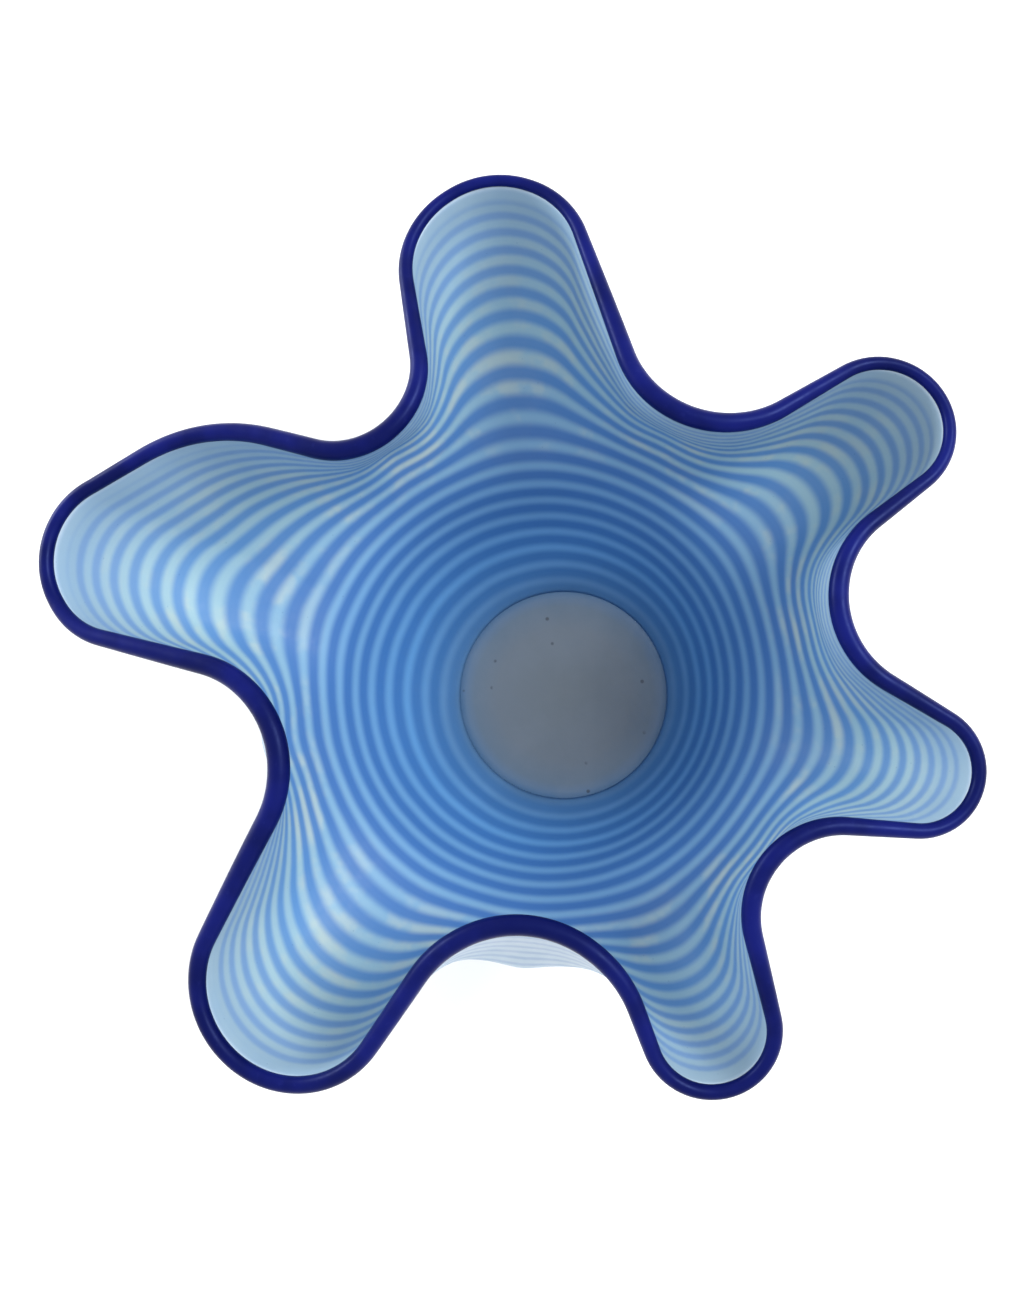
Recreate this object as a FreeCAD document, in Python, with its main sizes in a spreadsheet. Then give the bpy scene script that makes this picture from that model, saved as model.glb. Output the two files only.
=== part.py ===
import FreeCAD, Part
import math
import os
import Sketcher

# A free-blown glass bowl with six pulled-out lobes. Millimetres, +Z up.
# The origin is the centre of the flat foot.
# "Turn" counts the windings of the glass trail: 0 at the base pad, growing towards the rim.

os.makedirs("parts", exist_ok=True)
doc = FreeCAD.newDocument("art_glass_bowl")
sheet = doc.addObject("Spreadsheet::Sheet", "sizes")
Vector = FreeCAD.Vector

SIZES = [
    ("wall_end_turn", 20.2),
    ("body_shift_x", -4.5),
    ("body_shift_y", 1.8),
    ("body_shift_turns", 6),
    ("valley_radius", 84),
    ("lobe_radius", 150),
    ("flank_softness", 0.15),
    ("flank_steepness", 0.4),
    ("layer_at_base", 2.0),
    ("layer_at_rim", 1.2),
    ("trail_start", 0.62),
    ("trail_end", 19.3),
    ("trail_phase", 12),
    ("trail_clearance", 0.03),
    ("trail_taper", 0.07),
    ("pad_floor_dish", 0.6),
    ("foot_radius", 40),
    ("foot_round", 1.2),
    ("label_width", 38),
    ("label_low_turn", 17.7),
    ("label_high_turn", 19.2),
    ("label_thickness", 0.15),
]

# The rim seen from above is a chain of arcs joined by tangent lines, counter-clockwise.
# Each arc: direction and distance of its centre, radius (minus where it bends inwards),
# lip radius there, and 1 where the arc's far point is a lobe tip or a valley floor.
RIM_ARCS = [
    (36.5, 132.5, 21, 1.95, 1),
    (62.5, 127.5, -33, 3.2, 1),
    (96, 136.5, 29, 1.9, 1),
    (122.5, 118.5, -26, 3.2, 1),
    (168, 106, 60, 2.6, 0),
    (163, 143.5, 27, 2.4, 1),
    (193, 118, -34, 3.6, 1),
    (230.5, 123, 31, 2.7, 1),
    (267, 112, -38, 3.3, 1),
    (296.5, 117.5, 19, 2.35, 1),
    (322.5, 115, -27, 3.1, 1),
    (347, 118.5, 18, 2.2, 1),
    (372, 124, -30, 3.1, 1),
]
ARC_NAMES = ("angle", "distance", "radius", "lip", "marks")

# Turn, radius of the round body, height in the valleys, height along the lobes.
BODY = [
    (0, 44.5, 8, 8),
    (3.5, 63.5, 31.8, 31.8),
    (7, 79.5, 58, 57),
    (10, 92.5, 81, 72),
    (13, 98.5, 103, 86),
    (16.5, 97.5, 124, 110),
    (20.5, 95, 147, 137),
]
BODY_NAMES = ("turn", "radius", "valley_height", "lobe_height")

# Turn, share of the way from the round body to the rim outline.
LOBE_BLEND = [(5, 0), (7, 0.01), (9, 0.065), (11, 0.27), (13, 0.54), (15, 0.735), (17.5, 0.895), (20.5, 1)]
VALLEY_BLEND = [(9, 0), (12, 0.05), (15, 0.4), (20.5, 1)]
BLEND_NAMES = ("turn", "share")

# Turn, half width of the trail in turns, height of the trail.
TRAIL = [(0, 0.2, 0.8), (10, 0.2, 0.8), (12.5, 0.17, 0.5), (20, 0.13, 0.35)]
TRAIL_NAMES = ("turn", "half_width", "height")

MERIDIANS = 144
BODY_ROW_STEP = 0.7
GROOVE_ROWS_PER_TURN = 12
SECTION_POINTS = 7
LIP_POINTS = 15
LABEL_ROWS = 5
LABEL_COLUMNS = 9
LABEL_GAP = 0.01


# The pad's joint with the wall follows from the wall's first slope.
FORMULAS = [
    ("start_slope", "=atan2(body_2_valley_height - body_1_valley_height; body_2_radius - body_1_radius)"),
    ("joint_inner_radius", "=body_1_radius - layer_at_base * sin(start_slope)"),
    ("joint_inner_height", "=body_1_valley_height + layer_at_base * cos(start_slope)"),
    ("joint_outer_radius", "=body_1_radius + layer_at_base * sin(start_slope)"),
    ("joint_outer_height", "=body_1_valley_height - layer_at_base * cos(start_slope)"),
    ("floor_height", "=joint_inner_height - pad_floor_dish"),
]


def fill_sizes():
    for row, (name, value) in enumerate(SIZES, 2):
        sheet.set("A%d" % row, name)
        sheet.set("B%d" % row, str(value))
        sheet.setAlias("B%d" % row, name)


def fill_table(column, prefix, names, rows):
    for row, values in enumerate(rows, 2):
        for offset, (name, value) in enumerate(zip(names, values)):
            cell = "%s%d" % (chr(ord(column) + offset), row)
            sheet.set(cell, str(value))
            sheet.setAlias(cell, "%s_%d_%s" % (prefix, row - 1, name))


def read_table(prefix, names, rows):
    table = []
    for row in range(1, len(rows) + 1):
        table.append([float(sheet.get("%s_%d_%s" % (prefix, row, name))) for name in names])
    return table


fill_sizes()
fill_table("D", "arc", ARC_NAMES, RIM_ARCS)
fill_table("J", "body", BODY_NAMES, BODY)
fill_table("O", "lobe_blend", BLEND_NAMES, LOBE_BLEND)
fill_table("R", "valley_blend", BLEND_NAMES, VALLEY_BLEND)
fill_table("U", "trail", TRAIL_NAMES, TRAIL)
for row, (name, formula) in enumerate(FORMULAS, len(SIZES) + 3):
    sheet.set("A%d" % row, name)
    sheet.set("B%d" % row, formula)
    sheet.setAlias("B%d" % row, name)
doc.recompute()

size = {name: float(sheet.get(name)) for name, value in SIZES}
arcs = read_table("arc", ARC_NAMES, RIM_ARCS)
body = read_table("body", BODY_NAMES, BODY)
lobe_blend = read_table("lobe_blend", BLEND_NAMES, LOBE_BLEND)
valley_blend = read_table("valley_blend", BLEND_NAMES, VALLEY_BLEND)
trail = read_table("trail", TRAIL_NAMES, TRAIL)


def column(table, index):
    return [(row[0], row[index]) for row in table]


def slope_at(stations, index):
    """Slope of the parabola through a station and its two neighbours."""
    low = max(index - 1, 0)
    high = min(index + 1, len(stations) - 1)
    if low == index or high == index:
        return (stations[high][1] - stations[low][1]) / (stations[high][0] - stations[low][0])
    before = stations[index][0] - stations[low][0]
    after = stations[high][0] - stations[index][0]
    slope_before = (stations[index][1] - stations[low][1]) / before
    slope_after = (stations[high][1] - stations[index][1]) / after
    return (slope_before * after + slope_after * before) / (before + after)


def ease(stations, x):
    """Smooth curve through (x, y) stations, held level beyond both ends."""
    x = min(max(x, stations[0][0]), stations[-1][0])
    index = 0
    while index < len(stations) - 2 and x > stations[index + 1][0]:
        index += 1
    start, end = stations[index], stations[index + 1]
    step = end[0] - start[0]
    t = (x - start[0]) / step
    rise = end[1] - start[1]
    out_slope = slope_at(stations, index) * step
    in_slope = slope_at(stations, index + 1) * step
    curve = out_slope * t * (1 - t) ** 2 - in_slope * t * t * (1 - t)
    return start[1] + rise * t * t * (3 - 2 * t) + curve


def smooth_step(t):
    t = min(max(t, 0), 1)
    return t * t * (3 - 2 * t)


def polar(angle, distance):
    return Vector(distance * math.cos(math.radians(angle)), distance * math.sin(math.radians(angle)), 0)


class Outline:
    """The rim seen from above, walked by length from the first lobe tip."""

    def __init__(self):
        self.pieces = []
        self.marks = []
        normals = []
        for here, after in zip(arcs, arcs[1:] + arcs[:1]):
            path = polar(after[0], after[1]) - polar(here[0], here[1])
            turn = math.acos((here[2] - after[2]) / path.Length)
            normals.append(math.degrees(math.atan2(path.y, path.x) - turn))
        length = 0
        for index, arc in enumerate(arcs):
            centre = polar(arc[0], arc[1])
            way = 1 if arc[2] > 0 else -1
            first = normals[index - 1]
            sweep = way * ((normals[index] - first) * way % 360)
            to_mark = way * ((arc[0] - first) * way % 360)
            if arc[4]:
                angle = arc[0]
                if self.marks and angle < self.marks[-1][1]:
                    angle += 360
                far = length + math.radians(to_mark) * arc[2]
                self.marks.append((far, angle, arc[3], arc[1] + arc[2], way))
            self.pieces.append((length, centre, arc[2], first, sweep))
            length += math.radians(sweep) * arc[2]
            after = arcs[(index + 1) % len(arcs)]
            start = centre + polar(normals[index], arc[2])
            line = polar(after[0], after[1]) + polar(normals[index], after[2]) - start
            self.pieces.append((length, start, 0, line, 0))
            length += line.Length
        self.length = length

    def point(self, distance):
        distance = (distance + self.marks[0][0]) % self.length
        piece = [entry for entry in self.pieces if entry[0] <= distance][-1]
        ahead = distance - piece[0]
        if piece[2] == 0:
            return piece[1] + piece[3] * (ahead / piece[3].Length)
        return piece[1] + polar(piece[3] + math.degrees(ahead / piece[2]), piece[2])

    def stations(self, index, ways=(-1, 1)):
        """Marks as (length, value), repeated before and after one walk round.

        The ways are 1 for lobe tips and -1 for valley floors."""
        zero = self.marks[0][0]
        lap = 360 if index == 1 else 0
        rows = []
        for turn in (-1, 0, 1):
            for mark in self.marks:
                if mark[4] in ways:
                    rows.append((mark[0] - zero + turn * self.length, mark[index] + turn * lap))
        return rows


def share_between(value, low, high):
    return min(max((value - low) / (high - low), 0), 1)


def lobe_share(reach, along):
    """How far a meridian follows its lobe: 0 on a valley floor, 1 at the tip of a long lobe."""
    tip = ease(outline.stations(3, (1,)), along)
    valley = ease(outline.stations(3, (-1,)), along)
    soft = size["flank_softness"]
    rise = share_between(reach, valley, tip)
    rise = (math.hypot(rise, soft) - soft) / (math.hypot(1, soft) - soft)
    return rise ** size["flank_steepness"] * share_between(tip, size["valley_radius"], size["lobe_radius"])


outline = Outline()
rim_points = []
rim_angles = []
rim_lip = []
rim_share = []
for number in range(MERIDIANS):
    along = number * outline.length / MERIDIANS
    point = outline.point(along)
    rim_points.append(point)
    rim_angles.append(ease(outline.stations(1), along))
    rim_lip.append(ease(outline.stations(2), along))
    rim_share.append(lobe_share(point.Length, along))


def middle_point(number, turn):
    """A point of the wall's middle surface, between the round body and the rim outline."""
    rim = rim_points[number]
    lobe = (rim.Length - size["valley_radius"]) / (size["lobe_radius"] - size["valley_radius"])
    share = rim_share[number]
    blend = ease(lobe_blend, turn) * share + ease(valley_blend, turn) * (1 - share)
    shift = smooth_step(turn / size["body_shift_turns"])
    centre = Vector(size["body_shift_x"] * shift, size["body_shift_y"] * shift, 0)
    round_point = centre + polar(rim_angles[number], ease(column(body, 1), turn))
    point = round_point * (1 - blend) + rim * blend
    low = ease(column(body, 2), turn)
    high = ease(column(body, 3), turn)
    point.z = low + min(max(lobe, 0), 1.2) * (high - low)
    return point


def spline_surface(rows, row_parameters, closed):
    """Surface through rows of points; a closed row joins its own start."""
    row_poles = []
    for row in rows:
        curve = Part.BSplineCurve()
        if closed:
            curve.interpolate(Points=row, PeriodicFlag=True, Parameters=list(range(len(row) + 1)))
        else:
            curve.interpolate(Points=row, Parameters=list(range(len(row))))
        row_poles.append(curve.getPoles())
    across = []
    for index in range(len(row_poles[0])):
        rung = Part.BSplineCurve()
        points = [poles[index] for poles in row_poles]
        if len(points) == 2:
            rung.buildFromPolesMultsKnots(points, [2, 2], row_parameters, False, 1)
        else:
            rung.interpolate(Points=points, Parameters=row_parameters)
        across.append(rung)
    surface = Part.BSplineSurface()
    surface.buildFromPolesMultsKnots(
        [rung.getPoles() for rung in across],
        curve.getMultiplicities(),
        across[0].getMultiplicities(),
        curve.getKnots(),
        across[0].getKnots(),
        closed,
        False,
        curve.Degree,
        across[0].Degree,
    )
    return surface


def solid_from(surfaces):
    shell = Part.makeShell([surface.toShape() for surface in surfaces])
    shell.sewShape()
    solid = Part.makeSolid(Part.Shell(shell.Faces))
    if solid.Volume < 0:
        solid.reverse()
    return solid


def add_part(name, shape):
    feature = doc.addObject("Part::Feature", name)
    feature.Label = name
    feature.Shape = shape
    feature.Placement = FreeCAD.Placement()
    return feature


end_turn = size["wall_end_turn"]
body_count = round(end_turn / BODY_ROW_STEP)
body_rows = [end_turn * row / body_count for row in range(body_count + 1)]
middle_rows = [[middle_point(number, turn) for number in range(MERIDIANS)] for turn in body_rows]
middle = spline_surface(middle_rows, body_rows, True)


def inward(surface, number, turn):
    """Unit normal of one of the wall's surfaces, pointing into the bowl."""
    return surface.normal(number, turn) * -1


def layer(turn):
    return size["layer_at_base"] + (size["layer_at_rim"] - size["layer_at_base"]) * turn / end_turn


def skin_row(turn, side):
    row = []
    for number in range(MERIDIANS):
        row.append(middle.value(number, turn) + inward(middle, number, turn) * (side * layer(turn)))
    return row


def groove_depth(turn, angle):
    """Height of the trail over a point of the middle surface."""
    offset = (turn - (angle + size["trail_phase"]) / 360 + 0.5) % 1 - 0.5
    centre = turn - offset
    half_width = ease(column(trail, 1), centre)
    if abs(offset) >= half_width:
        return 0
    to_end = min(centre - size["trail_start"], size["trail_end"] - centre)
    height = ease(column(trail, 2), centre) * smooth_step(to_end / size["trail_taper"])
    return height * math.cos(math.pi * offset / (2 * half_width)) ** 2


inner_rows = [skin_row(turn, 1) for turn in body_rows]
outer_rows = [skin_row(turn, -1) for turn in body_rows]
inner_skin = spline_surface(inner_rows, body_rows, True)
outer_skin = spline_surface(outer_rows, body_rows, True)

groove_count = round(end_turn * GROOVE_ROWS_PER_TURN)
groove_turns = [end_turn * row / groove_count for row in range(groove_count + 1)]
groove_rows = []
for turn in groove_turns:
    row = []
    for number in range(MERIDIANS):
        depth = groove_depth(turn, rim_angles[number])
        row.append(middle.value(number, turn) - inward(middle, number, turn) * depth)
    groove_rows.append(row)
groove = spline_surface(groove_rows, groove_turns, True)


def ring(first_row, second_row):
    return spline_surface([first_row, second_row], [0, 1], True)


inner_casing = solid_from([
    inner_skin,
    middle,
    ring(inner_rows[0], middle_rows[0]),
    ring(inner_rows[-1], middle_rows[-1]),
])
outer_casing = solid_from([
    outer_skin,
    groove,
    ring(outer_rows[0], middle_rows[0]),
    ring(outer_rows[-1], middle_rows[-1]),
])

def trail_section(lap_count):
    """Flat and bulging edges of the trail where it crosses one meridian on one lap."""
    number = lap_count % MERIDIANS
    angle = rim_angles[number]
    centre = lap_count // MERIDIANS + (angle + size["trail_phase"]) / 360
    clearance = size["trail_clearance"]
    share = 2 / math.pi * math.acos(math.sqrt(clearance / groove_depth(centre, angle)))
    reach = ease(column(trail, 1), centre) * share
    flat = []
    bulge = []
    for index in range(SECTION_POINTS):
        turn = centre + reach * (2 * index / (SECTION_POINTS - 1) - 1)
        point = middle.value(number, turn)
        rise = max(groove_depth(turn, angle) - clearance, 0)
        if index in (0, SECTION_POINTS - 1):
            rise = 0
        flat.append(point)
        bulge.append(point - inward(middle, number, turn) * rise)
    return flat, bulge


def trail_solid():
    sections = []
    for lap_count in range(MERIDIANS * math.ceil(size["trail_end"])):
        angle = rim_angles[lap_count % MERIDIANS]
        centre = lap_count // MERIDIANS + (angle + size["trail_phase"]) / 360
        if groove_depth(centre, angle) > 4 * size["trail_clearance"]:
            sections.append(trail_section(lap_count))
    steps = list(range(len(sections)))
    flats = [section[0] for section in sections]
    bulges = [section[1] for section in sections]
    flat_surface = spline_surface(flats, steps, False)
    bulge_surface = spline_surface(bulges, steps, False)
    pieces = [spline_surface([flats[end], bulges[end]], [0, 1], False) for end in (0, -1)]
    for surface in (flat_surface, bulge_surface):
        for start in range(0, steps[-1], MERIDIANS):
            lap = surface.copy()
            lap.segment(0, SECTION_POINTS - 1, start, min(start + MERIDIANS, steps[-1]))
            pieces.append(lap)
    return solid_from(pieces)


def lip_solid():
    rows = [[] for index in range(LIP_POINTS)]
    for number in range(MERIDIANS):
        inside = inner_rows[-1][number]
        outside = outer_rows[-1][number]
        half = (inside - outside).Length / 2
        across = (inside - outside).normalize()
        along, upward = middle.tangent(number, end_turn)
        up = across.cross(along).normalize()
        if up.dot(upward) < 0:
            up = up * -1
        radius = rim_lip[number]
        lift = math.sqrt(radius ** 2 - half ** 2)
        centre = (inside + outside) * 0.5 + up * lift
        first = math.atan2(-lift, half)
        sweep = math.pi - 2 * first
        for index in range(LIP_POINTS):
            angle = first + sweep * index / (LIP_POINTS - 1)
            spoke = across * (radius * math.cos(angle)) + up * (radius * math.sin(angle))
            rows[index].append(centre + spoke)
    rows[0] = inner_rows[-1]
    rows[-1] = outer_rows[-1]
    return solid_from([spline_surface(rows, list(range(LIP_POINTS)), True), ring(rows[0], rows[-1])])


def label_solid():
    """A blank film label on the outside of the lobe along +Y, just under the rim."""
    tip = outline.marks[2][0] - outline.marks[0][0]
    middle_number = tip * MERIDIANS / outline.length
    reach = size["label_width"] / 2 * MERIDIANS / outline.length
    low, high = size["label_low_turn"], size["label_high_turn"]
    sheets = []
    for gap in (LABEL_GAP, LABEL_GAP + size["label_thickness"]):
        rows = []
        for step in range(LABEL_ROWS):
            turn = low + (high - low) * step / (LABEL_ROWS - 1)
            row = []
            for index in range(LABEL_COLUMNS):
                number = middle_number + reach * (2 * index / (LABEL_COLUMNS - 1) - 1)
                row.append(outer_skin.value(number, turn) - inward(outer_skin, number, turn) * gap)
            rows.append(row)
        sheets.append(rows)
    near, far = sheets
    steps = list(range(LABEL_ROWS))
    surfaces = [spline_surface(near, steps, False), spline_surface(far, steps, False)]
    for end in (0, -1):
        surfaces.append(spline_surface([near[end], far[end]], [0, 1], False))
        near_side = [row[end] for row in near]
        far_side = [row[end] for row in far]
        surfaces.append(spline_surface([near_side, far_side], [0, 1], False))
    return solid_from(surfaces)


def turned_pad():
    """The solid disc under the bowl, turned from a half section."""
    pad = doc.addObject("PartDesign::Body", "base_pad")
    pad.Label = "base_pad"
    plane = [entry for entry in pad.Origin.OriginFeatures if entry.Role == "XZ_Plane"][0]
    sketch = pad.newObject("Sketcher::SketchObject", "pad_section")
    sketch.AttachmentSupport = [(plane, "")]
    sketch.MapMode = "FlatFace"
    foot = size["foot_radius"]
    fillet = size["foot_round"]
    inner = Vector(float(sheet.get("joint_inner_radius")), float(sheet.get("joint_inner_height")), 0)
    outer = Vector(float(sheet.get("joint_outer_radius")), float(sheet.get("joint_outer_height")), 0)
    floor = Vector(0, float(sheet.get("floor_height")), 0)
    upright = Vector(0, 0, 1)
    corner = Part.Circle(Vector(foot, fillet, 0), upright, fillet)
    dish_radius = inner.x ** 2 / (2 * size["pad_floor_dish"])
    dish = Part.Circle(Vector(0, floor.y + dish_radius, 0), upright, dish_radius)
    down = -math.pi / 2
    corner_arc = Part.ArcOfCircle(corner, down, math.radians(-39))
    dish_arc = Part.ArcOfCircle(dish, down, down + inner.x / dish_radius)
    bottom = sketch.addGeometry(Part.LineSegment(Vector(0, 0, 0), Vector(foot, 0, 0)))
    edge = sketch.addGeometry(corner_arc)
    side = sketch.addGeometry(Part.LineSegment(corner_arc.EndPoint, outer))
    joint = sketch.addGeometry(Part.LineSegment(outer, inner))
    bed = sketch.addGeometry(dish_arc)
    axis = sketch.addGeometry(Part.LineSegment(floor, Vector(0, 0, 0)))
    rules = [
        ("Coincident", bottom, 1, -1, 1),
        ("Horizontal", bottom),
        ("Tangent", bottom, 2, edge, 1),
        ("Tangent", edge, 2, side, 1),
        ("Coincident", side, 2, joint, 1),
        ("Coincident", joint, 2, bed, 2),
        ("Coincident", bed, 1, axis, 1),
        ("Coincident", axis, 2, bottom, 1),
        ("Vertical", axis),
        ("PointOnObject", bed, 3, -2),
    ]
    for rule in rules:
        sketch.addConstraint(Sketcher.Constraint(*rule))
    driven = [
        ("foot", ("DistanceX", bottom, 1, bottom, 2, foot), "foot_radius"),
        ("round", ("Radius", edge, fillet), "foot_round"),
        ("outer_radius", ("DistanceX", -1, 1, joint, 1, outer.x), "joint_outer_radius"),
        ("outer_height", ("DistanceY", -1, 1, joint, 1, outer.y), "joint_outer_height"),
        ("inner_radius", ("DistanceX", -1, 1, joint, 2, inner.x), "joint_inner_radius"),
        ("inner_height", ("DistanceY", -1, 1, joint, 2, inner.y), "joint_inner_height"),
        ("floor", ("DistanceY", -1, 1, axis, 1, floor.y), "floor_height"),
    ]
    for label, rule, cell in driven:
        index = sketch.addConstraint(Sketcher.Constraint(*rule))
        sketch.renameConstraint(index, label)
        sketch.setExpression("Constraints." + label, "sizes." + cell)
    turned = pad.newObject("PartDesign::Revolution", "pad_turned")
    turned.Profile = sketch
    turned.ReferenceAxis = (sketch, ["V_Axis"])
    turned.Angle = 360
    return pad


base_pad = turned_pad()
parts = [
    base_pad,
    add_part("inner_casing", inner_casing),
    add_part("outer_casing", outer_casing),
    add_part("spiral_thread", trail_solid()),
    add_part("lip_wrap", lip_solid()),
    add_part("maker_label", label_solid()),
]
doc.recompute()

for entry in doc.Objects:
    if "Invalid" in entry.State or "Error" in entry.State:
        raise RuntimeError("%s did not build" % entry.Label)
for part in parts:
    if part.Shape.isNull() or not part.Shape.isValid():
        raise RuntimeError("%s has no valid shape" % part.Label)
    part.Shape.exportStep("parts/%s.step" % part.Label)
    print(part.Label, round(part.Shape.Volume), part.Shape.BoundBox)
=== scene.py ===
import math

import bmesh
import bpy
import numpy as np
from mathutils import Matrix, Vector


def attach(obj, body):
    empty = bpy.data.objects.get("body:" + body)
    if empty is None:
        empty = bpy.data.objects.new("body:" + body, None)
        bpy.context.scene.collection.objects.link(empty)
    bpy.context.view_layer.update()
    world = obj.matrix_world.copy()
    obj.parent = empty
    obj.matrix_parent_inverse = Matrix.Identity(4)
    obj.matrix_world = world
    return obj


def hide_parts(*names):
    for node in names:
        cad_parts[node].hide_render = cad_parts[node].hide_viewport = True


# Looks of the lobed glass bowl. The wall tables repeat the part's own design values, in millimetres.
# "Turn" counts the windings of the coloured trail: 0 at the base pad, growing towards the rim.

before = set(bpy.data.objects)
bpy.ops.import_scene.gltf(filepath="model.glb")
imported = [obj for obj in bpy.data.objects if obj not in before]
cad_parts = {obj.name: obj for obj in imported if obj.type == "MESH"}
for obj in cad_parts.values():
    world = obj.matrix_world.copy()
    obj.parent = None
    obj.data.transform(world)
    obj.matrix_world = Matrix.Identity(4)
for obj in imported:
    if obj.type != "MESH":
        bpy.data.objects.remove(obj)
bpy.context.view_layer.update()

MM = 0.001
WALL_END = 20.2
BODY_SHIFT = (-4.5, 1.8)
BODY_SHIFT_TURNS = 6
VALLEY_RADIUS = 84
LOBE_RADIUS = 150
FLANK_SOFTNESS = 0.15
FLANK_STEEPNESS = 0.4
LAYER_AT_BASE = 2.0
LAYER_AT_RIM = 1.2
TRAIL_PHASE = 12
LIP_ALLOWANCE = 0.04

# Each arc of the rim: direction and distance of its centre, radius (minus where it bends inwards),
# lip radius there, and 1 where the arc's far point is a lobe tip or a valley floor.
RIM_ARCS = [
    (36.5, 132.5, 21, 1.95, 1),
    (62.5, 127.5, -33, 3.2, 1),
    (96, 136.5, 29, 1.9, 1),
    (122.5, 118.5, -26, 3.2, 1),
    (168, 106, 60, 2.6, 0),
    (163, 143.5, 27, 2.4, 1),
    (193, 118, -34, 3.6, 1),
    (230.5, 123, 31, 2.7, 1),
    (267, 112, -38, 3.3, 1),
    (296.5, 117.5, 19, 2.35, 1),
    (322.5, 115, -27, 3.1, 1),
    (347, 118.5, 18, 2.2, 1),
    (372, 124, -30, 3.1, 1),
]

# Turn, radius of the round body, height in the valleys, height along the lobes.
BODY = [
    (0, 44.5, 8, 8),
    (3.5, 63.5, 31.8, 31.8),
    (7, 79.5, 58, 57),
    (10, 92.5, 81, 72),
    (13, 98.5, 103, 86),
    (16.5, 97.5, 124, 110),
    (20.5, 95, 147, 137),
]

# Turn, share of the way from the round body to the rim outline.
LOBE_BLEND = [(5, 0), (7, 0.01), (9, 0.065), (11, 0.27), (13, 0.54), (15, 0.735), (17.5, 0.895), (20.5, 1)]
VALLEY_BLEND = [(9, 0), (12, 0.05), (15, 0.4), (20.5, 1)]

# Turn, half width of the trail in turns, height of the trail.
TRAIL = [(0, 0.2, 0.8), (10, 0.2, 0.8), (12.5, 0.17, 0.5), (20, 0.13, 0.35)]
TRAIL_START = 0.62
TRAIL_END = 19.3
TRAIL_TAPER = 0.07

WALL_COLUMNS = 360
LIP_COLUMNS = 720
LIP_POINTS = 25


# ---------------------------------------------------------------- shape

def ease(stations, values):
    """Smooth curve through (x, y) stations, held level beyond both ends."""
    x = np.array([station[0] for station in stations], float)
    y = np.array([station[1] for station in stations], float)
    step = np.diff(x)
    chord = np.diff(y) / step
    slope = np.empty(len(x))
    slope[0] = chord[0]
    slope[-1] = chord[-1]
    slope[1:-1] = (chord[:-1] * step[1:] + chord[1:] * step[:-1]) / (step[1:] + step[:-1])
    values = np.clip(values, x[0], x[-1])
    index = np.clip(np.searchsorted(x, values, side="right") - 1, 0, len(step) - 1)
    length = step[index]
    t = (values - x[index]) / length
    curve = slope[index] * length * t * (1 - t) ** 2 - slope[index + 1] * length * t * t * (1 - t)
    return y[index] + (y[index + 1] - y[index]) * t * t * (3 - 2 * t) + curve


def column(table, index):
    return [(row[0], row[index]) for row in table]


def smooth_step(t):
    t = np.clip(t, 0, 1)
    return t * t * (3 - 2 * t)


def polar(angle, distance):
    return np.array([distance * math.cos(math.radians(angle)), distance * math.sin(math.radians(angle))])


def walk_rim():
    """Pieces of the rim seen from above, and its marks, both by length from the first arc's start."""
    normals = []
    for here, after in zip(RIM_ARCS, RIM_ARCS[1:] + RIM_ARCS[:1]):
        path = polar(after[0], after[1]) - polar(here[0], here[1])
        turn = math.acos((here[2] - after[2]) / np.hypot(*path))
        normals.append(math.degrees(math.atan2(path[1], path[0]) - turn))
    pieces = []
    marks = []
    length = 0
    for index, arc in enumerate(RIM_ARCS):
        centre = polar(arc[0], arc[1])
        way = 1 if arc[2] > 0 else -1
        first = normals[index - 1]
        sweep = way * ((normals[index] - first) * way % 360)
        to_mark = way * ((arc[0] - first) * way % 360)
        if arc[4]:
            angle = arc[0]
            if marks and angle < marks[-1][1]:
                angle += 360
            marks.append((length + math.radians(to_mark) * arc[2], angle, arc[3], arc[1] + arc[2], way))
        pieces.append((length, centre, arc[2], first))
        length += math.radians(sweep) * arc[2]
        after = RIM_ARCS[(index + 1) % len(RIM_ARCS)]
        start = centre + polar(normals[index], arc[2])
        line = polar(after[0], after[1]) + polar(normals[index], after[2]) - start
        pieces.append((length, start, 0, line))
        length += np.hypot(*line)
    return pieces, marks, length


def rim_point(pieces, distance):
    start, place, radius, way = [piece for piece in pieces if piece[0] <= distance][-1]
    ahead = distance - start
    if radius == 0:
        return place + way * (ahead / np.hypot(*way))
    return place + polar(way + math.degrees(ahead / radius), radius)


def share_between(value, low, high):
    return np.clip((value - low) / (high - low), 0, 1)


def rim_samples(count):
    """Rim outline, direction, lip radius and share of the lobe at even lengths from the first lobe tip."""
    pieces, marks, length = walk_rim()
    zero = marks[0][0]
    along = np.arange(count) * length / count
    points = np.array([rim_point(pieces, (distance + zero) % length) for distance in along])
    laps = [(lap, mark) for lap in (-1, 0, 1) for mark in marks]
    angles = ease([(mark[0] - zero + lap * length, mark[1] + lap * 360) for lap, mark in laps], along)
    lips = ease([(mark[0] - zero + lap * length, mark[2]) for lap, mark in laps], along)
    tip = ease([(mark[0] - zero + lap * length, mark[3]) for lap, mark in laps if mark[4] == 1], along)
    valley = ease([(mark[0] - zero + lap * length, mark[3]) for lap, mark in laps if mark[4] == -1], along)
    rise = share_between(np.hypot(points[:, 0], points[:, 1]), valley, tip)
    full_rise = math.hypot(1, FLANK_SOFTNESS) - FLANK_SOFTNESS
    rise = (np.hypot(rise, FLANK_SOFTNESS) - FLANK_SOFTNESS) / full_rise
    shares = rise ** FLANK_STEEPNESS * share_between(tip, VALLEY_RADIUS, LOBE_RADIUS)
    return points, angles, lips, shares


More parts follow.
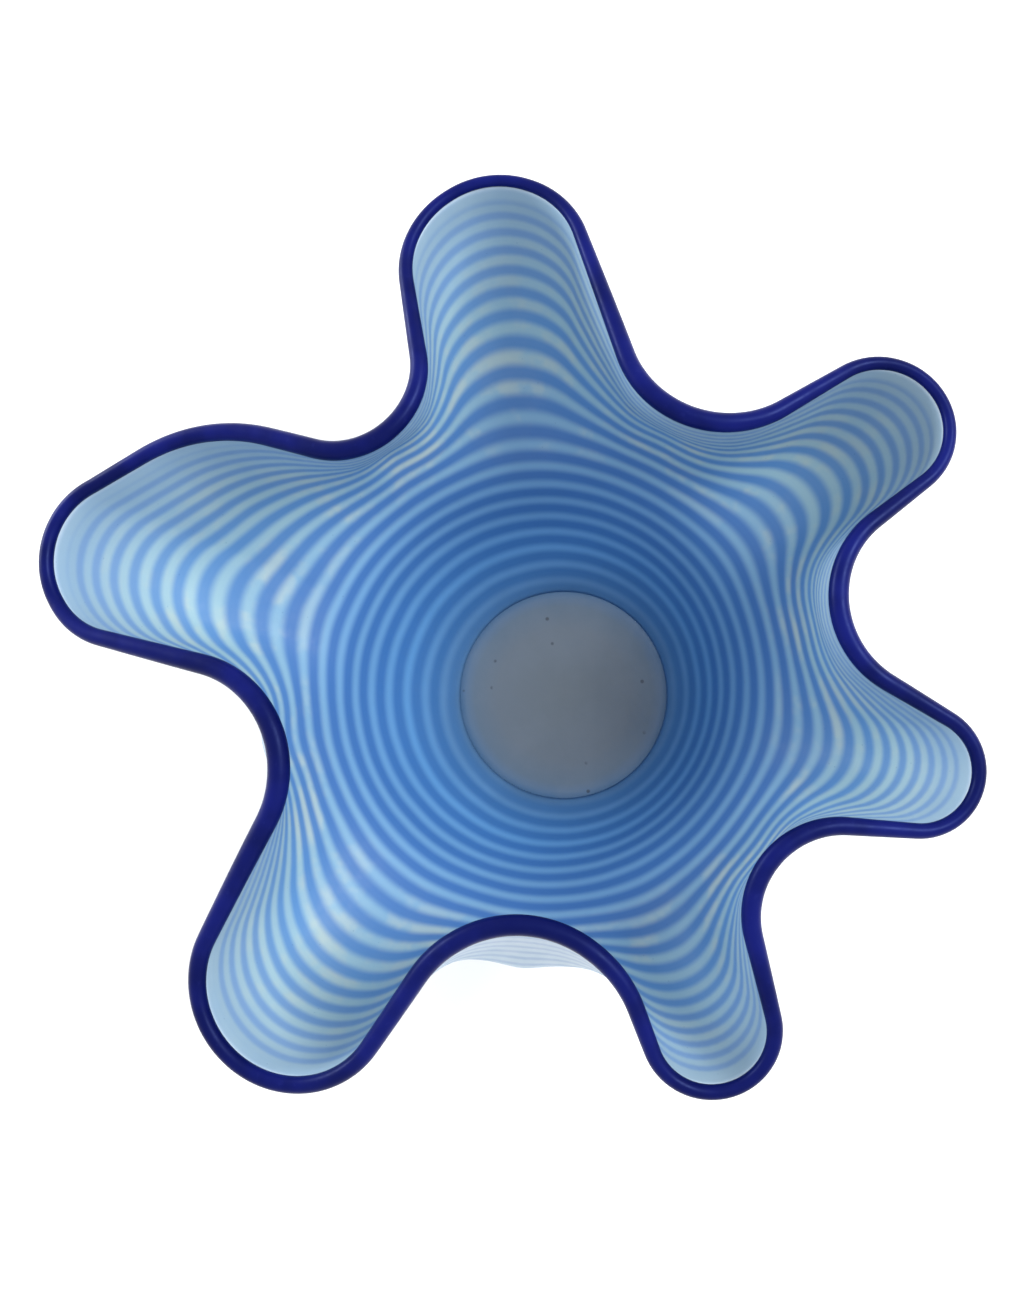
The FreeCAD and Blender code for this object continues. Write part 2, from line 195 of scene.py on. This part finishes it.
def middle_surface(rim, turns):
    """Points of the wall's middle surface, one row for each turn and one column for each rim sample."""
    outline, angles, lips, shares = rim
    turns = np.asarray(turns, float)[:, None]
    lobe = ((np.hypot(outline[:, 0], outline[:, 1]) - VALLEY_RADIUS) / (LOBE_RADIUS - VALLEY_RADIUS))[None, :]
    blend = ease(LOBE_BLEND, turns) * shares + ease(VALLEY_BLEND, turns) * (1 - shares)
    shift = smooth_step(turns / BODY_SHIFT_TURNS)
    radius = ease(column(BODY, 1), turns)
    direction = np.radians(angles)[None, :]
    x = (BODY_SHIFT[0] * shift + radius * np.cos(direction)) * (1 - blend) + outline[None, :, 0] * blend
    y = (BODY_SHIFT[1] * shift + radius * np.sin(direction)) * (1 - blend) + outline[None, :, 1] * blend
    low = ease(column(BODY, 2), turns)
    high = ease(column(BODY, 3), turns)
    z = low + np.clip(lobe, 0, 1.2) * (high - low)
    return np.stack([x, y, z + 0 * x], -1)


def inward(points):
    """Unit normals of a wall surface, pointing into the bowl, and its two tangents."""
    around = np.roll(points, -1, 1) - np.roll(points, 1, 1)
    upward = np.gradient(points, axis=0, edge_order=2)
    normal = np.cross(upward, around)
    normal /= np.linalg.norm(normal, axis=2, keepdims=True)
    if normal[0, :, 2].mean() < 0:
        normal = -normal
    return normal, around, upward


def layer(turns):
    return (LAYER_AT_BASE + (LAYER_AT_RIM - LAYER_AT_BASE) * np.asarray(turns) / WALL_END)[:, None, None]


def groove_depth(turns, angles):
    """Height of the trail over the middle surface."""
    turns = np.asarray(turns)[:, None]
    offset = (turns - (angles[None, :] + TRAIL_PHASE) / 360 + 0.5) % 1 - 0.5
    centre = turns - offset
    half_width = ease(column(TRAIL, 1), centre)
    to_end = np.minimum(centre - TRAIL_START, TRAIL_END - centre)
    height = ease(column(TRAIL, 2), centre) * smooth_step(to_end / TRAIL_TAPER)
    bulge = np.cos(math.pi * np.clip(offset / half_width, -1, 1) / 2) ** 2
    return (height * bulge)[:, :, None]


def rows_to_wall_end(count):
    return np.linspace(0, WALL_END, count)


# ---------------------------------------------------------------- meshes

def loop_mesh(name, rows, turns, angles):
    """A closed skin from rows of points, each row a closed ring, the last row joined to the first.

    The map "windings" holds the phase of the trail and the turn at each corner."""
    row_count, count = rows.shape[:2]
    mesh = bpy.data.meshes.new(name)
    vertices = (rows.reshape(-1, 3) * MM).astype(np.float32)
    row, place = np.meshgrid(np.arange(row_count), np.arange(count), indexing="ij")
    next_row = (row + 1) % row_count
    next_place = (place + 1) % count
    quads = np.stack([
        row * count + place,
        row * count + next_place,
        next_row * count + next_place,
        next_row * count + place,
    ], -1).reshape(-1, 4)
    mesh.from_pydata(vertices.tolist(), [], quads.tolist())
    closed = np.append(angles, angles[0] + 360)
    corner_turns = np.stack([turns[row], turns[row], turns[next_row], turns[next_row]], -1)
    corner_angles = np.stack([closed[place], closed[place + 1], closed[place + 1], closed[place]], -1)
    phase = corner_turns - (corner_angles + TRAIL_PHASE) / 360
    windings = mesh.uv_layers.new(name="windings")
    windings.data.foreach_set("uv", np.stack([phase, corner_turns], -1).astype(np.float32).ravel())
    mesh.polygons.foreach_set("use_smooth", np.ones(len(quads), bool))
    mesh.update()
    return mesh


def outward_faces(mesh):
    """Turns a closed mesh's faces outwards."""
    work = bmesh.new()
    work.from_mesh(mesh)
    bmesh.ops.recalc_face_normals(work, faces=work.faces)
    work.to_mesh(mesh)
    work.free()


def add_piece(name, mesh, material, slot, *nodes):
    piece = bpy.data.objects.new(name, mesh)
    bpy.context.scene.collection.objects.link(piece)
    mesh.materials.append(material)
    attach(piece, "root")
    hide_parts(*nodes)
    return piece


def wall_meshes():
    rim = rim_samples(WALL_COLUMNS)
    angles = rim[1]
    skin_turns = rows_to_wall_end(112)
    middle = middle_surface(rim, skin_turns)
    normal = inward(middle)[0]
    inner = middle + normal * layer(skin_turns)
    outer = middle - normal * layer(skin_turns)
    back_turns = rows_to_wall_end(82)
    back = middle_surface(rim, back_turns)
    groove_turns = rows_to_wall_end(143)
    groove = middle_surface(rim, groove_turns)
    groove = groove - inward(groove)[0] * groove_depth(groove_turns, angles)
    inner_rows = np.concatenate([inner, back[::-1]])
    outer_rows = np.concatenate([outer, groove[::-1]])
    inner_mesh = loop_mesh("inner_wall", inner_rows, np.concatenate([skin_turns, back_turns[::-1]]), angles)
    outer_mesh = loop_mesh("outer_wall", outer_rows, np.concatenate([skin_turns, groove_turns[::-1]]), angles)
    outward_faces(inner_mesh)
    outward_faces(outer_mesh)
    return inner_mesh, outer_mesh


def lip_mesh():
    """The cobalt roll over the wall's edge: a round section, joined to both skins."""
    rim = rim_samples(LIP_COLUMNS)
    turns = rows_to_wall_end(203)[-5:]
    middle = middle_surface(rim, turns)
    normal, around, upward = inward(middle)
    inside = (middle + normal * layer(turns))[-1]
    outside = (middle - normal * layer(turns))[-1]
    half = np.linalg.norm(inside - outside, axis=1, keepdims=True) / 2
    across = (inside - outside) / (2 * half)
    up = np.cross(across, around[-1])
    up /= np.linalg.norm(up, axis=1, keepdims=True)
    up *= np.sign((up * upward[-1]).sum(1, keepdims=True))
    radius = rim[2][:, None] - LIP_ALLOWANCE
    lift = np.sqrt(radius ** 2 - half ** 2)
    centre = (inside + outside) / 2 + up * lift
    first = np.arctan2(-lift, half)
    sweep = math.pi - 2 * first
    rows = []
    for index in range(LIP_POINTS):
        angle = first + sweep * index / (LIP_POINTS - 1)
        rows.append(centre + across * (radius * np.cos(angle)) + up * (radius * np.sin(angle)))
    mesh = loop_mesh("lip", np.array(rows), np.linspace(WALL_END, WALL_END + 1, LIP_POINTS), rim[1])
    outward_faces(mesh)
    return mesh


def turned_mesh(name, profile, count):
    """A solid of revolution about Z from (radius, height) points, the first and last on the axis."""
    mesh = bpy.data.meshes.new(name)
    vertices = [(0, 0, profile[0][1] * MM)]
    for radius, height in profile[1:-1]:
        for place in range(count):
            angle = 2 * math.pi * place / count
            vertices.append((radius * MM * math.cos(angle), radius * MM * math.sin(angle), height * MM))
    vertices.append((0, 0, profile[-1][1] * MM))
    faces = []
    for place in range(count):
        after = (place + 1) % count
        faces.append((0, 1 + after, 1 + place))
        for ring in range(len(profile) - 3):
            low = 1 + ring * count
            high = low + count
            faces.append((low + place, low + after, high + after, high + place))
        last = 1 + (len(profile) - 3) * count
        faces.append((last + place, last + after, len(vertices) - 1))
    mesh.from_pydata(vertices, [], faces)
    mesh.polygons.foreach_set("use_smooth", np.ones(len(faces), bool))
    outward_faces(mesh)
    return mesh


def pad_profile():
    """Half section of the pad: flat ground foot, rounded heel, joint with the wall, dished floor."""
    slope = math.atan2(BODY[1][2] - BODY[0][2], BODY[1][1] - BODY[0][1])
    reach = LAYER_AT_BASE * math.sin(slope)
    rise = LAYER_AT_BASE * math.cos(slope)
    inner = (BODY[0][1] - reach, BODY[0][2] + rise)
    outer = (BODY[0][1] + reach, BODY[0][2] - rise)
    profile = [(0, 0)]
    profile += [(radius, 0) for radius in (8, 16, 24, 32, 36, 39, 40)]
    for step in range(1, 9):
        angle = math.radians(-90 + 51 * step / 8)
        profile.append((40 + 1.2 * math.cos(angle), 1.2 + 1.2 * math.sin(angle)))
    start = profile[-1]
    for step in range(1, 6):
        share = step / 6
        profile.append((start[0] + (outer[0] - start[0]) * share, start[1] + (outer[1] - start[1]) * share))
    profile.append(outer)
    profile.append(((inner[0] + outer[0]) / 2, (inner[1] + outer[1]) / 2))
    profile.append(inner)
    for step in range(1, 16):
        radius = inner[0] * (1 - step / 16)
        profile.append((radius, inner[1] - 0.6 * (1 - (radius / inner[0]) ** 2)))
    profile.append((0, inner[1] - 0.6))
    return profile


# ---------------------------------------------------------------- materials

def rgb(red, green, blue):
    """A screen colour, 0 to 255, as linear light."""
    linear = []
    for value in (red, green, blue):
        value /= 255
        linear.append(value / 12.92 if value <= 0.04045 else ((value + 0.055) / 1.055) ** 2.4)
    return (*linear, 1)


class Finish:
    """A material and short ways to add nodes to it. Each method returns the new node's output."""

    def __init__(self, name, **sockets):
        self.material = bpy.data.materials.new(name)
        self.material.use_nodes = True
        self.tree = self.material.node_tree
        self.shader = self.tree.nodes["Principled BSDF"]
        for socket, value in sockets.items():
            self.shader.inputs[socket.replace("_", " ")].default_value = value

    def node(self, kind, inputs, output=0, **settings):
        node = self.tree.nodes.new(kind)
        for name, value in settings.items():
            setattr(node, name, value)
        for socket, value in inputs.items():
            self.feed(node.inputs[socket], value)
        return node.outputs[output]

    def feed(self, socket, value):
        if isinstance(value, bpy.types.NodeSocket):
            self.tree.links.new(value, socket)
        else:
            socket.default_value = value

    def math(self, operation, *values):
        return self.node("ShaderNodeMath", dict(enumerate(values)), operation=operation)

    def place(self):
        return self.node("ShaderNodeTexCoord", {}, "Object")

    def windings(self):
        """Phase of the trail and turn, from the wall's own map."""
        both = self.node("ShaderNodeUVMap", {}, uv_map="windings")
        parts = self.tree.nodes.new("ShaderNodeSeparateXYZ")
        self.feed(parts.inputs[0], both)
        return parts.outputs[0], parts.outputs[1]

    def noise(self, scale, detail=2, roughness=0.5):
        return self.node(
            "ShaderNodeTexNoise",
            {"Vector": self.place(), "Scale": scale, "Detail": detail, "Roughness": roughness})

    def fit(self, value, low, high, out_low=0.0, out_high=1.0, shape="SMOOTHSTEP"):
        return self.node(
            "ShaderNodeMapRange",
            {"Value": value, "From Min": low, "From Max": high, "To Min": out_low, "To Max": out_high},
            interpolation_type=shape)

    def ramp(self, value, stops, shape="LINEAR"):
        """Colours or greys along a value; stops are (place, colour or number)."""
        node = self.tree.nodes.new("ShaderNodeValToRGB")
        self.feed(node.inputs[0], value)
        node.color_ramp.interpolation = shape
        elements = node.color_ramp.elements
        while len(elements) < len(stops):
            elements.new(1)
        for element, (position, colour) in zip(elements, stops):
            element.position = position
            element.color = colour if isinstance(colour, tuple) else (colour, colour, colour, 1)
        return node.outputs[0]

    def mix(self, share, first, second, blend="MIX"):
        node = self.tree.nodes.new("ShaderNodeMix")
        node.data_type = "RGBA"
        node.blend_type = blend
        self.feed(node.inputs[0], share)
        self.feed(node.inputs[6], first)
        self.feed(node.inputs[7], second)
        return node.outputs[2]

    def bump(self, height, strength, distance):
        normal = self.node(
            "ShaderNodeBump", {"Height": height, "Strength": strength, "Distance": distance}, output="Normal")
        self.feed(self.shader.inputs["Normal"], normal)

    def colour(self, value):
        self.feed(self.shader.inputs["Base Color"], value)

    def roughness(self, value):
        self.feed(self.shader.inputs["Roughness"], value)


def by_turn(finish, turn, stops):
    """A ramp along the wall, with its stops given in turns."""
    scaled = finish.math("DIVIDE", turn, 20.5)
    return finish.ramp(scaled, [(place / 20.5, colour) for place, colour in stops])


def line_strength(finish, phase, turn, widths, strengths):
    """1 in the middle of the trail, fading softly to 0 beside it."""
    wander = finish.math("MULTIPLY", finish.math("SUBTRACT", finish.noise(38, 2), 0.5), 0.12)
    shifted = finish.math("ADD", finish.math("ADD", phase, wander), 0.5)
    offset = finish.math("ABSOLUTE", finish.math("SUBTRACT", finish.math("FRACT", shifted), 0.5))
    reach = by_turn(finish, turn, widths)
    near = finish.math("DIVIDE", offset, reach)
    soft = finish.fit(near, 0.18, 1.0, 1.0, 0.0)
    return finish.math("MULTIPLY", soft, by_turn(finish, turn, strengths))


def inner_wall_finish():
    finish = Finish("aqua_satin_glass", Roughness=0.42, IOR=1.5, Specular_IOR_Level=0.25)
    phase, turn = finish.windings()
    # Wall colour by turn, partly the glass's own tone and partly painted light: painted shade darkens it
    # towards the base, it is lightest around turns 12 to 15 where the wall lies flattest, and the pale top
    # edge is a painted highlight.
    bands = by_turn(finish, turn, [
        (0, rgb(76, 110, 144)),
        (0.8, rgb(82, 124, 166)),
        (3, rgb(86, 140, 190)),
        (7, rgb(110, 156, 196)),
        (10, rgb(136, 175, 198)),
        (12, rgb(156, 190, 200)),
        (15, rgb(164, 194, 202)),
        (19, rgb(152, 178, 192)),
        (19.9, rgb(156, 181, 196)),
        # painted highlight: a pale line where the wall meets the lip
        (20.2, rgb(190, 208, 224)),
    ])
    cream = finish.math("MULTIPLY", finish.fit(finish.noise(55, 3, 0.6), 0.45, 0.65), by_turn(finish, turn, [
        (0, 0.0), (8, 0.0), (10.5, 0.75), (13, 0.7), (16, 0.35), (18, 0.0)]))
    bands = finish.mix(cream, bands, rgb(186, 200, 192))
    clouds = finish.fit(finish.noise(22, 4, 0.6), 0.35, 0.7)
    bands = finish.mix(finish.math("MULTIPLY", clouds, 0.22), bands, rgb(104, 154, 204))
    # Trail colour by turn, darker towards the base: partly the trail's own deeper blue, partly painted shade.
    lines = by_turn(finish, turn, [
        (0, rgb(52, 100, 150)),
        (4, rgb(52, 104, 166)),
        (9, rgb(66, 112, 174)),
        (13, rgb(86, 138, 194)),
        (17, rgb(98, 138, 192)),
        (20, rgb(108, 142, 190)),
    ])
    line = line_strength(
        finish, phase, turn,
        [(0, 0.5), (9, 0.48), (13, 0.44), (17, 0.42), (20, 0.40)],
        [(0, 0.35), (1.5, 0.85), (8, 0.95), (12, 0.92), (15, 0.8), (19, 0.6), (19.5, 0.0)])
    surface = finish.mix(line, bands, lines)
    cells = finish.node(
        "ShaderNodeTexVoronoi", {"Vector": finish.place(), "Scale": 190.0, "Randomness": 1.0})
    seeds = finish.fit(cells, 0.035, 0.06, 1.0, 0.0)
    surface = finish.mix(finish.math("MULTIPLY", seeds, 0.25), surface, rgb(60, 92, 140))
    finish.colour(surface)
    finish.roughness(finish.fit(finish.noise(260, 3, 0.7), 0.3, 0.7, 0.44, 0.58))
    ripples = finish.math("ADD", finish.noise(30, 2), finish.math("MULTIPLY", finish.noise(900, 2), 0.06))
    finish.bump(ripples, 0.25, 0.002)
    return finish.material


def outer_wall_finish():
    finish = Finish("opal_satin_glass", Roughness=0.42, IOR=1.5, Specular_IOR_Level=0.25)
    phase, turn = finish.windings()
    bands = by_turn(finish, turn, [
        (0, rgb(150, 172, 196)),
        (8, rgb(160, 182, 202)),
        (14, rgb(170, 190, 206)),
        (20.2, rgb(178, 194, 212)),
    ])
    clouds = finish.fit(finish.noise(26, 4, 0.6), 0.35, 0.7)
    bands = finish.mix(finish.math("MULTIPLY", clouds, 0.4), bands, rgb(188, 200, 208))
    line = line_strength(
        finish, phase, turn,
        [(0, 0.42), (12, 0.38), (20, 0.3)],
        [(0, 0.55), (12, 0.42), (19, 0.3), (19.5, 0.0)])
    finish.colour(finish.mix(line, bands, rgb(88, 130, 182)))
    finish.roughness(finish.fit(finish.noise(260, 3, 0.7), 0.3, 0.7, 0.36, 0.5))
    ripples = finish.math("ADD", finish.noise(30, 2), finish.math("MULTIPLY", finish.noise(900, 2), 0.06))
    finish.bump(ripples, 0.25, 0.002)
    return finish.material


def lip_finish():
    finish = Finish("cobalt_satin_glass", Roughness=0.38, IOR=1.5, Specular_IOR_Level=0.2)
    finish.shader.inputs["Specular Tint"].default_value = rgb(150, 175, 255)
    clouds = finish.fit(finish.noise(34, 3, 0.6), 0.35, 0.7)
    deep = finish.mix(clouds, rgb(4, 8, 66), rgb(12, 18, 92))
    streaks = finish.fit(finish.noise(420, 2, 0.6), 0.62, 0.75)
    finish.colour(finish.mix(finish.math("MULTIPLY", streaks, 0.12), deep, rgb(34, 40, 110)))
    finish.roughness(finish.fit(finish.noise(180, 3, 0.7), 0.3, 0.7, 0.32, 0.46))
    ripples = finish.math("ADD", finish.noise(60, 2), finish.math("MULTIPLY", finish.noise(900, 2), 0.06))
    finish.bump(ripples, 0.2, 0.0015)
    return finish.material


def pad_finish():
    finish = Finish("grey_blue_glass_painted_shade", Roughness=0.42, IOR=1.5)
    place = finish.place()
    parts = finish.tree.nodes.new("ShaderNodeSeparateXYZ")
    finish.feed(parts.inputs[0], place)
    flat = finish.node("ShaderNodeCombineXYZ", {"X": parts.outputs[0], "Y": parts.outputs[1]})
    distance = finish.node("ShaderNodeVectorMath", {0: flat}, output="Value", operation="LENGTH")
    # Painted shade: the pad's clear glass is coloured a dim grey as if in shade, turning slightly darker and
    # bluer towards the joint with the wall.
    floor = finish.ramp(finish.math("DIVIDE", distance, 0.05), [
        (0, rgb(97, 107, 114)),
        (0.55, rgb(94, 106, 117)),
        (0.74, rgb(84, 104, 122)),
        (0.86, rgb(74, 108, 142)),
        (1.0, rgb(170, 190, 212)),
    ])
    haze = finish.fit(finish.noise(40, 4, 0.6), 0.35, 0.7)
    floor = finish.mix(finish.math("MULTIPLY", haze, 0.18), floor, rgb(118, 128, 138))
    cells = finish.node("ShaderNodeTexVoronoi", {"Vector": place, "Scale": 120.0, "Randomness": 1.0})
    chosen = finish.fit(finish.noise(60, 1), 0.55, 0.6)
    specks = finish.math("MULTIPLY", finish.fit(cells, 0.06, 0.12, 1.0, 0.0), chosen)
    finish.colour(finish.mix(finish.math("MULTIPLY", specks, 0.7), floor, rgb(40, 46, 58)))
    finish.roughness(finish.fit(finish.noise(220, 3, 0.7), 0.3, 0.7, 0.36, 0.5))
    ripples = finish.math("ADD", finish.noise(45, 2), finish.math("MULTIPLY", finish.noise(900, 2), 0.06))
    finish.bump(ripples, 0.25, 0.0015)
    return finish.material


def trail_finish():
    finish = Finish("blue_trail_glass", Roughness=0.25, IOR=1.5)
    streaks = finish.fit(finish.noise(70, 4, 0.6), 0.3, 0.7)
    finish.colour(finish.mix(streaks, rgb(24, 84, 176), rgb(66, 128, 206)))
    finish.roughness(finish.fit(finish.noise(200, 2), 0.3, 0.7, 0.18, 0.32))
    finish.bump(finish.noise(300, 2), 0.2, 0.0005)
    return finish.material


def label_finish():
    finish = Finish("label_film", Roughness=0.3, IOR=1.45)
    fibres = finish.fit(finish.noise(300, 3, 0.7), 0.3, 0.7)
    finish.colour(finish.mix(fibres, rgb(188, 196, 206), rgb(204, 212, 220)))
    finish.roughness(finish.fit(finish.noise(500, 2), 0.3, 0.7, 0.22, 0.36))
    finish.bump(finish.noise(700, 2), 0.15, 0.0003)
    return finish.material


def floor_finish():
    finish = Finish("pale_floor", Roughness=0.7)
    mottle = finish.fit(finish.noise(3, 2), 0.3, 0.7)
    finish.colour(finish.mix(mottle, rgb(246, 246, 247), rgb(249, 249, 249)))
    return finish.material


# ---------------------------------------------------------------- object

inner_mesh, outer_mesh = wall_meshes()
add_piece("inner_wall", inner_mesh, inner_wall_finish(), "aqua_glass", "inner_casing")
add_piece("outer_wall", outer_mesh, outer_wall_finish(), "opal_glass", "outer_casing")
add_piece("lip", lip_mesh(), lip_finish(), "cobalt_glass", "lip_wrap")
add_piece("pad", turned_mesh("pad", pad_profile(), 240), pad_finish(), "pad_glass", "base_pad")
for node, finish in (("spiral_thread", trail_finish()), ("maker_label", label_finish())):
    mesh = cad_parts[node].data
    mesh.materials.clear()
    mesh.materials.append(finish)


# ---------------------------------------------------------------- stage

def add_floor():
    reach = 6.0
    steps = 12
    side = [reach * (2 * index / steps - 1) for index in range(steps + 1)]
    vertices = [(x, y, 0) for y in side for x in side]
    faces = []
    for row in range(steps):
        for place in range(steps):
            corner = row * (steps + 1) + place
            faces.append((corner, corner + 1, corner + steps + 2, corner + steps + 1))
    mesh = bpy.data.meshes.new("floor")
    mesh.from_pydata(vertices, [], faces)
    mesh.materials.append(floor_finish())
    floor = bpy.data.objects.new("floor", mesh)
    bpy.context.scene.collection.objects.link(floor)
    floor.location.z = -0.0002


def add_lamp(name, place, target, width, height, power):
    lamp = bpy.data.lights.new(name, "AREA")
    lamp.shape = "ELLIPSE"
    lamp.size = width
    lamp.size_y = height
    lamp.energy = power
    holder = bpy.data.objects.new(name, lamp)
    holder.location = place
    holder.rotation_euler = (Vector(target) - Vector(place)).to_track_quat("-Z", "Y").to_euler()
    bpy.context.scene.collection.objects.link(holder)


def add_world(strength):
    world = bpy.data.worlds.new("studio")
    bpy.context.scene.world = world
    world.use_nodes = True
    world.node_tree.nodes["Background"].inputs["Color"].default_value = (1, 1, 1, 1)
    world.node_tree.nodes["Background"].inputs["Strength"].default_value = strength


def add_camera(place, target, focal_pixels):
    """A camera that looks almost straight down, for a picture 1308 pixels tall."""
    camera = bpy.data.cameras.new("camera")
    camera.sensor_width = 36
    camera.lens = 36 * focal_pixels / 1308
    camera.clip_start = 0.01
    ahead = (Vector(target) - Vector(place)).normalized()
    right = ahead.cross(Vector((0, 1, 0))).normalized()
    up = right.cross(ahead)
    matrix = Matrix((right, up, -ahead)).transposed().to_4x4()
    matrix.translation = Vector(place)
    holder = bpy.data.objects.new("camera", camera)
    holder.matrix_world = matrix
    bpy.context.scene.collection.objects.link(holder)
    bpy.context.scene.camera = holder


add_floor()
add_world(1.05)
add_lamp("key", place=(0.95, 0.35, 1.30), target=(-0.03, 0, 0.06), width=0.7, height=0.7, power=20)
add_lamp("low_side", place=(-1.15, 0.55, 0.45), target=(0, 0, 0.13), width=0.8, height=0.35, power=11)
add_camera(place=(0.030, -0.013, 0.530), target=(-0.0084, 0.0095, 0.140), focal_pixels=1250)
bpy.context.scene.view_settings.view_transform = "Standard"
